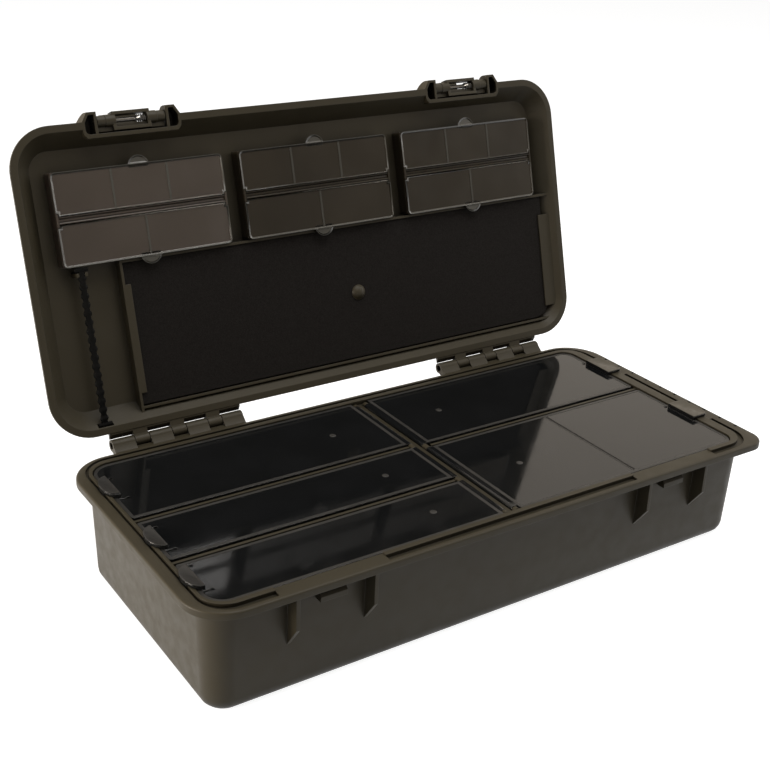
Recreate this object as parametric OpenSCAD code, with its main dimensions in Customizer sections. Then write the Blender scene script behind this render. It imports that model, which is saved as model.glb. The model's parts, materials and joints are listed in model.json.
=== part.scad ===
// Fishing tackle box, open: a deep drafted tub with hinged clear lids over its
// compartments, and a shallow main lid that carries three bit boxes, a foam rig
// board and a beaded rig strip.
//
// +X is the length, +Y is the hinge side, +Z is up. The origin lies on the table
// under the middle of the tub. Everything on the main lid is drawn as if the lid
// were shut, then swung open about the hinge axis.

/* [Overall] */
// Length of the box over its flange
box_l = 368; // [360:1:400]
// Width of the box over its flange, from latches to hinges
box_w = 170; // [164:1:190]
// Height of the base, from the table to the top of its flange
base_h = 64.5; // [58:0.5:80]
// Corner radius of the flange, seen from above
corner_r = 24; // [22:0.5:28]
// Radius of the flange's one pointed corner, at the front right
point_r = 11; // [9:0.5:20]
// How far the main lid stands open, measured from shut
lid_open = 105.75; // [100:0.25:110]

/* [Tub] */
// Wall thickness of the tub
wall_t = 2.2; // [1.8:0.1:2.6]
// Floor thickness of the tub
floor_t = 2.4; // [2:0.1:3.2]
// How much each wall leans inwards, from flange to floor
draft = 1.6; // [1:0.1:3]
// How far the flange stands out from the tub's ends
overhang_x = 7.2; // [7:0.1:8]
// How far the flange stands out from the tub's front and back
overhang_y = 8.5; // [7:0.25:9.5]
// Corner radius of the tub, seen from above
tub_r = 14.5; // [13.5:0.5:18]
// Radius of the tub's outer bottom edge
foot_r = 8; // [5:0.5:9]

/* [Flange] */
// Thickness of the flange plate
flange_t = 2.4; // [2:0.1:3]
// Height of the flange's outer edge, with its turned-down skirt
skirt_h = 4; // [3.4:0.1:4.6]
// Thickness of the turned-down skirt
skirt_t = 2; // [1.6:0.1:2.4]
// Ledge outside the groove, at the right end
ledge_x = 6.8; // [6.4:0.1:7.4]
// Ledge outside the groove, at front and back
ledge_y = 2.8; // [2.6:0.1:3.2]
// Width of the seal groove
groove_w = 3.6; // [3.2:0.1:3.8]
// Depth of the seal groove
groove_d = 1.4; // [0.8:0.1:1.6]
// Width of the raised rim inside the groove, at the right end
rim_x = 6.5; // [6.2:0.1:6.8]
// Width of the raised rim inside the groove, at front and back
rim_y = 3; // [2.8:0.1:3.3]
// How much further the opening for the clear lids reaches at the left end
lid_over = 7.4; // [7:0.1:7.6]
// How far the rim stands above the flange
rim_up = 0.8; // [0.5:0.1:1]
// Pitch of the measuring notches on the right end of the flange
notch_pitch = 12.7; // [11:0.1:13]
// Number of measuring notches
notch_n = 10; // [4:1:10]
// How far the middle of the notches lies behind the middle of the box
notch_mid = -4.6; // [-6:0.2:0]

/* [Compartments] */
// Thickness of the compartment walls
cell_t = 1.8; // [1.4:0.1:2.2]
// Width of the bar between the two sets of clear lids
bar_w = 2.4; // [2:0.2:4]
// Place of the wall between the left rear and left middle rows
row_lr = 12.2; // [8:0.2:16]
// Place of the wall between the left middle and left front rows
row_lf = -32.4; // [-36:0.2:-28]
// Place of the wall between the right rear and right front rows
row_r = 8.5; // [4:0.5:12]
// Distance of the wall across the right front row from the box's right end
cell_in = 96; // [88:1:104]

/* [Clear lids] */
// Thickness of the clear lids
clear_t = 1.6; // [1.2:0.1:1.8]
// Radius of the clear lids' hinge tubes
tube_r = 1.9; // [1.8:0.05:2]
// Diameter of the two rods that the clear lids turn on
rod_d = 2; // [1.6:0.1:2.2]
// Width of the finger tabs on the left lids
tab_l = 21; // [18:0.5:24]
// Width of the finger tabs on the right lids
tab_r = 21.5; // [19:0.5:23]
// Height of the tabs above the clear lids
tab_up = 2.7; // [2.6:0.1:3]
// Gap from the middle of a row wall to the clear lids beside it
row_gap = 2.6; // [2.2:0.1:3]

/* [Main hinges] */
// Distance of each hinge and latch from the nearer end of the box
hinge_in = 71.5; // [68:0.5:76]
// Distance of the hinge axis behind the flange
hinge_out = 7; // [6.5:0.1:7.6]
// Height of the hinge axis above the flange
hinge_up = 1; // [0.6:0.1:1.4]
// Diameter of the hinge knuckles
knuckle_d = 6.8; // [6:0.1:7.2]
// Length of one knuckle of the base
knuckle_b = 13.2; // [12:0.1:14]
// Length of one knuckle of the lid
knuckle_l = 8.6; // [8:0.1:10]
// Diameter of the hinge pins
pin_d = 4; // [3.4:0.1:4.2]

/* [Main lid] */
// Inner depth of the main lid
lid_d = 10.5; // [10:0.1:12]
// Wall thickness of the main lid
lid_t = 2.2; // [1.8:0.1:2.6]
// Width of the lid's rim
lip_w = 4; // [3.6:0.1:4.4]
// Thickness of the lid's rim
lip_t = 2.5; // [2.2:0.1:3]
// How far the lid's inner walls slope inwards
lid_slope = 9; // [8:0.1:9.4]

/* [Latches] */
// Width of a latch housing
latch_w = 57.5; // [54:0.5:60]
// Width of a latch lever, between the inner walls of its housing
plate_w = 39.6; // [38:0.2:40.2]
// How far the latch housings stand out from the flange
latch_out = 5; // [4.6:0.1:5.6]
// Width of the hollow box in the middle of a latch lever
lever_w = 22; // [18:0.5:26]
// Length of the latch lever below its pin
lever_l = 19.6; // [19.2:0.1:20.4]
// Diameter of the latch pins
latch_pin_d = 2.5; // [2:0.1:2.8]
// Turn of the lever from hooked to folded back
lever_fold = 188; // [182:1:188]
// Spacing of the two gussets under each latch
gusset_gap = 43.6; // [42:0.2:46]
// Thickness of a gusset
gusset_t = 2; // [1.6:0.1:2.4]
// Width of the keeper ridge under each latch
keeper_w = 15; // [12:0.5:18]

/* [Rig board] */
// Distance of the board's frame from the left end of the box
frame_in = 53; // [50:0.5:56]
// Bottom of the board's frame, measured from the lid's hinge edge
frame_v0 = 9; // [8.6:0.1:9.6]
// Thickness of the frame's walls
frame_t = 1.5; // [1.2:0.1:1.8]
// Depth of the frame's edge below the lid's rim
frame_d = 3.5; // [3.2:0.1:3.8]
// Thickness of the foam board
foam_t = 3.6; // [3:0.1:3.7]
// Diameter of the board's knob
knob_d = 9.5; // [8:0.1:12]

/* [Bit boxes] */
// Width of a bit box
bit_w = 51.2; // [48:0.1:52]
// Height of a bit box
bit_h = 10; // [9.6:0.1:10.2]
// Gap between neighbouring bit boxes
bit_gap = 11.1; // [10:0.1:13]
// Gap between the outer bit boxes and the foot of the lid's walls
bit_end = 7.65; // [7:0.05:9]
// Distance of the bit boxes from the lid's latch edge
bit_edge = 24.6; // [24.5:0.1:26]
// Wall thickness of a bit box
bit_t = 1.2; // [1:0.1:1.3]
// Diameter of the bit boxes' finger tabs
bit_tab_d = 13; // [10:0.5:16]

/* [Rig strip] */
// Distance of the rig strip from the left end of the box
strip_in = 30; // [28:0.5:32]
// Distance between the strip's beads
bead_pitch = 5.3; // [5:0.1:6]
// Diameter of the strip's beads
bead_d = 5; // [4.6:0.1:5.2]

/* [Fits] */
// Radial clearance of a turning fit
run_gap = 0.05; // [0.03:0.01:0.08]
// Gap between pieces that pass each other
side_gap = 0.4; // [0.3:0.05:0.5]
// Gap under the main lid's rim when the lid is shut
seat_gap = 0.3; // [0.2:0.05:0.4]

/* [Hidden] */

OLIVE = "#3d3a2c";
SMOKE = "#4a4a4680";
BLACK = "#141414";
STEEL = "#b4b4b0";
$fn = 64;

half_l = box_l / 2;
half_w = box_w / 2;
flange_z = base_h - flange_t;
arc_steps = 5;

// Tub
tub_x = half_l - overhang_x;
tub_y = half_w - overhang_y;
in_x = tub_x - wall_t;
in_y = tub_y - wall_t;
inner_foot_r = foot_r - wall_t;

// Rings of the flange, as half sizes seen from above
groove_x = half_l - ledge_x;
groove_y = half_w - ledge_y;
groove_r = corner_r - 6.5;
rim_ox = groove_x - groove_w;
rim_oy = groove_y - groove_w;
rim_or = groove_r - groove_w;
open_x = rim_ox - rim_x;
open_y = rim_oy - rim_y;
open_r = 8;
rim_top = base_h + rim_up;
shelf_w = 1.6;
shelf_x = open_x - shelf_w;
pad_w = 61;
tab_pad = 3.25;

// Rings of the flange at the left end, where the lids reach almost to its edge
seat_x = open_x + lid_over;
seat_r = 12;
bead_w = 1.8;
bead_x = seat_x + bead_w;
bead_r = 15;
slot_w = 1.3;
slot_x = bead_x + slot_w;
slot_r = 17;

// Clear lids
clear_top = base_h - 0.1;
clear_z = clear_top - clear_t;
shelf_z = clear_z - 0.2;
shelf_t = 2;
edge_rib = 1.7;
row_rib = row_gap + 0.6;
rib_t = 1.2;
rib_h = 2;
rib_round = 7.4;
bar_gap = 0.5;
bar_drop = 1.5;
pivot_x = bar_w / 2 + bar_gap + tube_r;
pivot_z = clear_top - tube_r;
lug_t = 2.4;
lug_end = in_y - 0.3;
lug_cut = open_y - lug_end + lug_t + side_gap;
wall_top = clear_top - 0.4;
tab_reach = 9.4;
tab_t = 1.5;
pad_in = 3.8;
pad_out = 3.3;
pad_shift = 3.4;
slit_w = 0.9;
slit_eye = 2;
cell_x = half_l - cell_in;

// Main hinges
hinge_x = half_l - hinge_in;
hinge_y = half_w + hinge_out;
hinge_z = base_h + hinge_up;
knuckle_gap = 0.4;
knuckle_step = knuckle_b + knuckle_l + 2 * knuckle_gap;
hinge_len = 3 * knuckle_step + knuckle_b;
pin_inset = 3;

// Main lid, drawn shut: its rim lies at lid_z0 and depth is measured upwards
lid_z0 = base_h + seat_gap;
lid_floor = lid_z0 + lid_d;
lid_top = lid_floor + lid_t;
slope_k = lid_slope / lid_d;

// Latches, drawn shut
latch_y = -(half_w - 0.5);
latch_z = lid_z0 + 3.5;
latch_depth = 9;
latch_bar_y = -(half_w - latch_depth);
latch_bar_t = 2.2;
latch_in = plate_w + 2 * side_gap;
cheek_t = 1.5;
cheek_h = 10;
cheek_cut = 3.2;
cheek_corner = 4;
barrel_r = 3.2;
collar_w = 4;
collar_r = barrel_r + 0.3;
lever_front = half_w + latch_out + 0.2;
lever_t = 1.8;
spring_wire = 0.7;
spring_turns = 4;
spring_pitch = 1.2;
spring_x0 = lever_w / 2 - lever_t - spring_pitch * spring_turns - 0.6;
hub_back = 4.5;
hub_top = 2.7;
hook_back = 6.5;
hook_t = 2.8;
keeper_reach = 4.8;
keeper_h = 5.5;
keeper_z = latch_z - (lever_l - hook_t) + side_gap;
gusset_front = half_w - 0.4;
gusset_z = 43;
gusset_tip = 30;
gusset_z0 = base_h - skirt_h;

// Rig board and bit boxes, placed by their distance from the lid's hinge edge
foam_d = frame_d + 1;
foam_x1 = half_l - lip_w - lid_slope;
foam_r = corner_r - lip_w - lid_slope + 0.2;
frame_x = frame_in - half_l;
frame_v1 = box_w - bit_edge - bit_w - 0.4;
lip_v0 = 18;
lip_v1 = frame_v1 - 13.8;
lip_over = 3.2;
rest_in = 8.5;
rest_x = 0.3 * (foam_x1 - frame_x);
knob_shank_d = 4;
bit_v = frame_v1 + 0.4 + bit_w / 2;
bit_l = (2 * (foam_x1 - bit_end) - 2 * bit_gap) / 3;
bit_pitch = bit_l + bit_gap;
bit_foot = 1;
bit_boss_h = 0.8;
bit_floor = 1;
bit_hinge_r = 1.1;
bit_hinge_y = 1.9;
bit_peg_r = 0.8;
bit_lid_t = 1.4;
bit_hinge_z = bit_h - bit_hinge_r;
bit_tray_h = bit_h - bit_lid_t - 0.2;
bit_post_y = 3.6;

// Rig strip
strip_x = strip_in - half_l;
strip_v0 = 4.7;
strip_v1 = frame_v1 - 0.6;
strip_d0 = 0.8;
strip_t = 2.2;
strip_neck = 3;
strip_head = 8;

function v_to_y(v) = half_w - v;

// Points of a round corner: centre, radius, first angle and sweep
function arc(c, r, from, sweep) =
    [for (i = [0 : arc_steps]) let (a = from + sweep * i / arc_steps) c + r * [cos(a), sin(a)]];

module rounded(hx, hy, r) {
    square([2 * (hx - r), 2 * hy], center = true);
    square([2 * hx, 2 * (hy - r)], center = true);
    for (sx = [-1, 1], sy = [-1, 1])
        translate([sx * (hx - r), sy * (hy - r)]) circle(r = r);
}

// A rectangle whose four corners have their own radii, anticlockwise from +X +Y
module cornered(hx, hy, r) {
    signs = [[1, 1], [-1, 1], [-1, -1], [1, -1]];
    polygon([for (i = [0 : 3], k = [0, 1])
        let (along = (i + k) % 2 == 0 ? [1, 0] : [0, 1], s = signs[i])
        [s[0] * (hx - r[i] * along[1]), s[1] * (hy - r[i] * along[0])]]);
    for (i = [0 : 3])
        translate([signs[i][0] * (hx - r[i]), signs[i][1] * (hy - r[i])]) circle(r = r[i]);
}

// A rectangle that reaches further to one side than to the other
module uneven(right_x, left_x, hy, right_r, left_r) {
    translate([(right_x - left_x) / 2, 0])
        cornered((right_x + left_x) / 2, hy, [right_r, left_r, left_r, right_r]);
}

// A wall profile, swept round a rounded rectangle: across is measured outwards
// from the centres of the corners
module sweep_wall(hx, hy, r, profile) {
    cx = hx - r;
    cy = hy - r;
    corners = [[1, 1], [-1, 1], [-1, -1], [1, -1]];
    for (i = [0 : 3])
        translate([corners[i][0] * cx, corners[i][1] * cy]) rotate(90 * i)
            rotate_extrude(angle = 90) polygon(profile);
    for (side = [0, 180]) {
        rotate(side) translate([cx, cy]) rotate([90, 0, 0]) linear_extrude(2 * cy) polygon(profile);
        rotate(side + 90) translate([cy, cx]) rotate([90, 0, 0]) linear_extrude(2 * cx) polygon(profile);
    }
}

// Extrudes a Y-Z outline along X, from x0 to x1
module along_x(x0, x1) {
    translate([x0, 0, 0]) rotate([90, 0, 90]) linear_extrude(x1 - x0) children();
}

// Extrudes an X-Z outline along Y, from y0 to y1
module along_y(y0, y1) {
    translate([0, y1, 0]) rotate([90, 0, 0]) linear_extrude(y1 - y0) children();
}

module block(x0, x1, y0, y1, z0, z1) {
    translate([x0, y0, z0]) cube([x1 - x0, y1 - y0, z1 - z0]);
}

module rod_x(x0, x1, y, z, d) {
    translate([x0, y, z]) rotate([0, 90, 0]) cylinder(d = d, h = x1 - x0);
}

module rod_y(y0, y1, x, z, d) {
    translate([x, y0, z]) rotate([-90, 0, 0]) cylinder(d = d, h = y1 - y0);
}

// Swings what is drawn for the shut lid to where the open lid stands
module open_lid() {
    translate([0, hinge_y, hinge_z]) rotate([-lid_open, 0, 0])
        translate([0, -hinge_y, -hinge_z]) children();
}

// Folds a lever back over the lid, about its pin
module fold_lever() {
    translate([0, latch_y, latch_z]) rotate([-lever_fold, 0, 0])
        translate([0, -latch_y, -latch_z]) children();
}

// ---------------------------------------------------------------- base

module tub() {
    fx = tub_r - draft - foot_r;
    gx = tub_r - draft - wall_t - inner_foot_r;
    profile = concat(
        [[0, 0]],
        arc([fx, foot_r], foot_r, -90, 90),
        [[tub_r, flange_z + 0.5], [tub_r - wall_t, flange_z + 0.5]],
        arc([gx, floor_t + inner_foot_r], inner_foot_r, 0, -90),
        [[0, floor_t]]);
    sweep_wall(tub_x, tub_y, tub_r, profile);
    fill_x = tub_x - tub_r + 1;
    fill_y = tub_y - tub_r + 1;
    block(-fill_x, fill_x, -fill_y, fill_y, 0, floor_t);
}

// Outlines of the opening for the clear lids and of the rim round it
module opening() {
    uneven(open_x, seat_x, open_y, open_r, seat_r);
}

module rim_outline() {
    uneven(rim_ox, bead_x, rim_oy, rim_or, bead_r);
}

// The flange's edge: a turned-down skirt with a round top, measured inwards
module flange_edge(r) {
    edge_r = 1.2;
    polygon(concat(
        [[r - skirt_t, base_h - skirt_h], [r, base_h - skirt_h]],
        arc([r - edge_r, base_h - edge_r], edge_r, 0, 90),
        [[r - skirt_t, base_h]]));
}

module flange() {
    radii = [corner_r, corner_r, corner_r, point_r];
    for (i = [0 : 3]) rotate(90 * i) {
        r = radii[i];
        next = radii[(i + 1) % 4];
        side = i % 2 == 0 ? half_l : half_w;
        out = i % 2 == 0 ? half_w : half_l;
        translate([side - r, out - r]) rotate_extrude(angle = 90) flange_edge(r);
        translate([next - side, out - r]) rotate([90, 0, 90])
            linear_extrude(2 * side - r - next) flange_edge(r);
    }
    translate([0, 0, flange_z]) linear_extrude(flange_t) difference() {
        cornered(half_l - skirt_t, half_w - skirt_t, [for (r = radii) r - skirt_t]);
        opening();
    }
}

module raised_rim() {
    difference() {
        translate([0, 0, base_h]) linear_extrude(rim_up) difference() {
            rim_outline();
            opening();
        }
        for (side = [-1, 1])
            block(side * hinge_x - pad_w / 2, side * hinge_x + pad_w / 2,
                  -half_w, -open_y + 1, base_h, rim_top + 1);
    }
}

// Shelf inside each end that carries the free ends of the clear lids
module end_shelves() {
    for (side = [-1, 1]) intersection() {
        translate([0, 0, shelf_z - shelf_t]) linear_extrude(shelf_t)
            rounded(in_x + 1, in_y + 1, tub_r - wall_t + 1);
        block(min(side * shelf_x, side * half_l), max(side * shelf_x, side * half_l),
              -half_w, half_w, shelf_z - shelf_t, shelf_z);
    }
}

// The seal groove runs round the flange and stops at the latches and right tabs
module seal_groove() {
    right_pads = [row_r / 2 + open_y / 2, row_r / 2 - open_y / 2];
    difference() {
        translate([0, 0, base_h - groove_d]) linear_extrude(groove_d + 1) difference() {
            uneven(groove_x, slot_x, groove_y, groove_r, slot_r);
            rim_outline();
        }
        for (side = [-1, 1])
            block(side * hinge_x - pad_w / 2, side * hinge_x + pad_w / 2,
                  -half_w, -rim_oy + 3, 0, base_h + 2);
        for (y = right_pads)
            block(rim_ox - 1, groove_x + 1, y - tab_r / 2 - tab_pad, y + tab_r / 2 + tab_pad,
                  0, base_h + 2);
    }
}

// Knuckles of the base, and the cradle under them that fills the hinge's length
module base_knuckles(side) {
    turn_r = knuckle_d / 2 + 0.45;
    along_x(side * hinge_x - hinge_len / 2, side * hinge_x + hinge_len / 2) polygon(concat(
        [[half_w - 1, base_h - skirt_h], [half_w - 1, base_h - 0.4], [hinge_y - turn_r - 0.1, base_h - 0.4]],
        arc([hinge_y, hinge_z], turn_r, 201, 49)));
    for (i = [0 : 3]) {
        x0 = side * hinge_x - hinge_len / 2 + i * knuckle_step;
        rod_x(x0, x0 + knuckle_b, hinge_y, hinge_z, knuckle_d);
        along_x(x0, x0 + knuckle_b) polygon([
            [half_w - 1, base_h - skirt_h], [half_w - 1, base_h - 0.4], [half_w + 0.6, base_h - 0.4],
            [hinge_y - 1, hinge_z + knuckle_d / 2 - 0.3], [hinge_y, hinge_z - knuckle_d / 2],
            [hinge_y - 2, hinge_z - knuckle_d / 2]]);
    }
}

module gusset(x) {
    wall_at = tub_y - wall_t / 2;
    lean = draft * (gusset_z0 - gusset_tip) / gusset_z0;
    along_x(x - gusset_t / 2, x + gusset_t / 2) polygon([
        [-wall_at, flange_z], [-(half_w - skirt_t / 2), flange_z],
        [-(half_w - skirt_t / 2), gusset_z0], [-gusset_front, gusset_z0], [-gusset_front, gusset_z],
        [-(tub_y - lean - 0.3), gusset_tip], [-(wall_at - lean), gusset_tip]]);
}

module keeper(x) {
    face = tub_y - draft * (flange_z - keeper_z) / flange_z;
    along_x(x - keeper_w / 2, x + keeper_w / 2) polygon([
        [-(face - wall_t / 2), keeper_z], [-(face + keeper_reach), keeper_z],
        [-(face + keeper_reach), keeper_z + keeper_h / 2],
        [-(face - wall_t / 2 + 1), keeper_z + keeper_h + 2]]);
}

// One pit of the measuring scale, beside the flange's right edge
module notch(y) {
    half = 0.75;
    block(half_l - 3.1, half_l - 0.9, y - half, y + half, base_h - 1.4, base_h + 1);
}

module base_shell() {
    color(OLIVE) difference() {
        union() {
            tub();
            flange();
            raised_rim();
            end_shelves();
            for (side = [-1, 1]) {
                base_knuckles(side);
                keeper(side * hinge_x);
                for (s = [-1, 1]) gusset(side * hinge_x + s * gusset_gap / 2);
            }
        }
        seal_groove();
        for (side = [-1, 1])
            rod_x(side * hinge_x - hinge_len / 2 - 1, side * hinge_x + hinge_len / 2 + 1,
                  hinge_y, hinge_z, pin_d + 2 * run_gap);
        for (i = [0 : notch_n - 1])
            notch(notch_mid + (i - (notch_n - 1) / 2) * notch_pitch);
    }
}

// ---------------------------------------------------------------- compartments

// Upper outline of a drop-in wall that fills the tub between its two sides
function wall_end(half, top) =
    let (lean = draft * (flange_z - floor_t) / flange_z)
    [[half - lean - inner_foot_r, floor_t], [half - lean, floor_t + inner_foot_r], [half - 0.3, top]];

module centre_wall() {
    top = pivot_z - tube_r - 1;
    row_lug = 2 * (row_gap - side_gap);
    ends = wall_end(in_y - 0.3, top);
    color(OLIVE) difference() {
        union() {
            along_x(-cell_t / 2, cell_t / 2)
                polygon(concat(ends, [for (i = [2 : -1 : 0]) [-ends[i][0], ends[i][1]]]));
            block(-bar_w / 2, bar_w / 2, -lug_end, lug_end, top - 1.5, clear_top - bar_drop);
            for (side = [-1, 1], s = [-1, 1]) hinge_lug(side, s * (lug_end - lug_t / 2), lug_t);
            for (y = [row_lf, row_lr]) hinge_lug(-1, y, row_lug);
            hinge_lug(1, row_r, row_lug);
        }
        for (side = [-1, 1])
            rod_y(-lug_end - 1, lug_end + 1, side * pivot_x, pivot_z, rod_d + 2 * run_gap);
    }
}

module hinge_lug(side, y, w) {
    foot = bar_w / 2 - 1;
    rod_y(y - w / 2, y + w / 2, side * pivot_x, pivot_z, 2 * tube_r);
    block(min(side * pivot_x, side * foot), max(side * pivot_x, side * foot),
          y - w / 2, y + w / 2, pivot_z - tube_r, pivot_z);
}

// A lengthwise wall from the centre wall to one end of the tub; its top stands
// between two clear lids and laps over the shelf
module row_wall(side, y) {
    under = shelf_z - shelf_t - 0.2;
    before = shelf_x - 0.3;
    reach = (side < 0 ? seat_x : open_x) - 0.3;
    ends = wall_end(in_x - 0.3, under);
    tube_x = pivot_x + tube_r + 1;
    low = pivot_z - tube_r - 2.7;
    color(OLIVE) scale([side, 1, 1]) along_y(y - cell_t / 2, y + cell_t / 2) polygon(concat(
        [[cell_t / 2, floor_t]], ends,
        [[before, under], [before, shelf_z + 0.1], [reach, shelf_z + 0.1], [reach, wall_top],
         [tube_x, wall_top], [tube_x, low], [cell_t / 2, low]]));
}

// The short wall across the right front row
module cell_wall() {
    top = clear_z - 0.2;
    low = top - rib_h;
    ends = wall_end(in_y - 0.3, low);
    y1 = row_r - cell_t / 2;
    row_step = row_rib + rib_t + 0.4;
    edge_step = edge_rib + rib_t + 0.4;
    color(OLIVE) along_x(cell_x - cell_t / 2, cell_x + cell_t / 2) polygon([
        [y1, floor_t], [y1, low], [row_r - row_step, low], [row_r - row_step, top],
        [-open_y + edge_step, top], [-open_y + edge_step, low],
        [-ends[2][0], low], [-ends[1][0], ends[1][1]], [-ends[0][0], floor_t]]);
}

module clear_rod(side) {
    color(STEEL) rod_y(-lug_end + 0.2, lug_end - 0.2, side * pivot_x, pivot_z, rod_d);
}

// One clear lid, drawn on the right; outer_low and outer_high say which of its
// long edges lies at the tub's wall, and left says that it belongs to the left end
module clear_lid(y0, y1, left, outer_low, outer_high, tab_y) {
    x1 = left ? seat_x - 0.4 : open_x - 0.5;
    r = left ? seat_r - 0.4 : open_r - 0.6;
    tab = left ? tab_l : tab_r;
    slit_l = left ? 7 : 3.4;
    low = y0 + (outer_low ? side_gap : row_gap);
    high = y1 - (outer_high ? side_gap : row_gap);
    rib_low = y0 + (outer_low ? edge_rib : row_rib);
    rib_high = y1 - (outer_high ? edge_rib : row_rib);
    near = pivot_x + tube_r + 0.3;
    rib_z = clear_z - rib_h;
    inner_r = 2;
    hinge_r = 0.4;
    rib_x = shelf_x - 3.5;
    difference() {
        union() {
            translate([(pivot_x + x1) / 2, (low + high) / 2, clear_z]) linear_extrude(clear_t)
                cornered((x1 - pivot_x) / 2, (high - low) / 2,
                         [outer_high ? r : inner_r, hinge_r, hinge_r, outer_low ? r : inner_r]);
            rod_y(low, high, pivot_x, pivot_z, 2 * tube_r);
            for (y = [rib_low, rib_high - rib_t])
                block(near + 2, shelf_x + 1.1 - rib_round, y, y + rib_t, rib_z, clear_z + 0.1);
            block(rib_x, rib_x + rib_t, rib_low + rib_round, rib_high - rib_round, rib_z, clear_z + 0.1);
            if (left) pad_tab(x1, tab_y, tab);
            else finger_tab(x1, tab_y, tab);
        }
        rod_y(low - 1, high + 1, pivot_x, pivot_z, rod_d + 2 * run_gap);
        if (outer_low)
            block(pivot_x - tube_r - 1, near, y0 - 1, y0 + lug_cut, rib_z - 1, clear_top + 1);
        if (outer_high)
            block(pivot_x - tube_r - 1, near, y1 - lug_cut, y1 + 1, rib_z - 1, clear_top + 1);
        for (s = [-1, 1]) slit(x1, tab_y + s * (tab / 2 + 1), slit_l);
    }
}

// A slit beside a tab, with a round eye at its closed end
module slit(x1, y, l) {
    block(x1 - l, x1 + 1, y - slit_w / 2, y + slit_w / 2, clear_z - 1, clear_top + 1);
    translate([x1 - l, y, clear_z - 1]) cylinder(d = slit_eye, h = clear_t + 2);
}

// The tab steps up from the lid, crosses the raised rim and hooks outside it
module finger_tab(x1, y, w) {
    top = clear_top + tab_up;
    under = top - tab_t;
    out = x1 + tab_reach;
    r = 3;
    block(x1 - 2.4, x1 - 0.8, y - w / 2, y + w / 2, clear_z, top);
    translate([0, 0, under]) linear_extrude(tab_t) {
        translate([x1 - 2.4, y - w / 2]) square([tab_reach + 2.4 - r, w]);
        translate([x1, y - w / 2 + r]) square([tab_reach, w - 2 * r]);
        for (s = [-1, 1]) translate([out - r, y + s * (w / 2 - r)]) circle(r = r);
    }
    block(rim_ox + 0.4, out, y - w / 2 + r, y + w / 2 - r, base_h + 0.2, under + 0.1);
}

// Half-moon outline of a left tab, from its straight inner edge outwards
module half_moon(reach, w) {
    intersection() {
        scale([2 * reach / w, 1]) circle(d = w);
        translate([0, -w / 2]) square([reach + 1, w]);
    }
}

// The left tabs are half-moon pads that stand on the lid's end
module pad_tab(x1, y, w) {
    top = clear_top + tab_up;
    under = top - tab_t;
    reach = pad_in + pad_out;
    foot = pad_in - 0.4;
    hook_x = bead_x + 0.4 - (x1 - pad_in);
    translate([x1 - pad_in, y, 0]) {
        translate([0, 0, under]) linear_extrude(tab_t) half_moon(reach, w);
        translate([0, 0, clear_z]) linear_extrude(tab_t + under - clear_z) intersection() {
            half_moon(reach, w);
            translate([0, -w / 2]) square([foot, w]);
        }
        translate([0, 0, base_h + 0.2]) linear_extrude(under - base_h) intersection() {
            half_moon(reach, w);
            translate([hook_x, -w / 2]) square([reach, w]);
        }
    }
}

module clear_lid_left(y0, y1, outer_low, outer_high, tab_y) {
    color(SMOKE) mirror([1, 0, 0]) clear_lid(y0, y1, true, outer_low, outer_high, tab_y);
}

module clear_lid_right(y0, y1, outer_low, outer_high) {
    color(SMOKE) clear_lid(y0, y1, false, outer_low, outer_high, (y0 + y1) / 2);
}

// ---------------------------------------------------------------- main hinges

module hinge_pin(side) {
    reach = hinge_len / 2 - pin_inset;
    color(STEEL) rod_x(side * hinge_x - reach, side * hinge_x + reach, hinge_y, hinge_z, pin_d);
}

// Knuckles of the lid, and the web from its rim that ends close to the base's knuckles
module lid_knuckles(side) {
    along_x(side * hinge_x - hinge_len / 2, side * hinge_x + hinge_len / 2) polygon([
        [half_w - 1, lid_z0 + 0.3], [half_w + 1, lid_z0 + 0.3],
        [hinge_y - knuckle_d / 2 + 0.05, lid_z0 + lip_t], [half_w - 1, lid_z0 + lip_t]]);
    for (i = [0 : 2]) {
        x0 = side * hinge_x - hinge_len / 2 + knuckle_b + knuckle_gap + i * knuckle_step;
        rod_x(x0, x0 + knuckle_l, hinge_y, hinge_z, knuckle_d);
        along_x(x0, x0 + knuckle_l) polygon([
            [half_w - 1, lid_z0 + 0.3], [half_w + 0.6, lid_z0 + 0.3], [hinge_y, hinge_z - 0.8],
            [hinge_y, hinge_z + knuckle_d / 2], [half_w - 1, lid_z0 + lip_t]]);
    }
}

// ---------------------------------------------------------------- main lid

module lid_skin() {
    u_lip = corner_r - lip_w;
    k_len = sqrt(1 + slope_k * slope_k);
    out_shift = lid_t * k_len;
    shoulder = u_lip + out_shift - slope_k * lip_t;
    top_r = 3;
    u_top = u_lip + out_shift - slope_k * (lid_top - lid_z0);
    edge_r = 1;
    profile = concat(
        [[0, lid_floor], [u_lip - lid_slope, lid_floor], [u_lip, lid_z0], [corner_r, lid_z0]],
        arc([corner_r - edge_r, lid_z0 + lip_t - edge_r], edge_r, 0, 90),
        [[shoulder, lid_z0 + lip_t], [u_top + top_r * 0.55, lid_top - top_r * 0.64],
         [u_top - 0.6, lid_top - top_r * 0.16], [u_top - top_r, lid_top], [0, lid_top]]);
    sweep_wall(half_l, half_w, corner_r, profile);
    cx = half_l - corner_r;
    cy = half_w - corner_r;
    block(-cx - 1, cx + 1, -cy - 1, cy + 1, lid_floor, lid_top);
}

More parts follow.
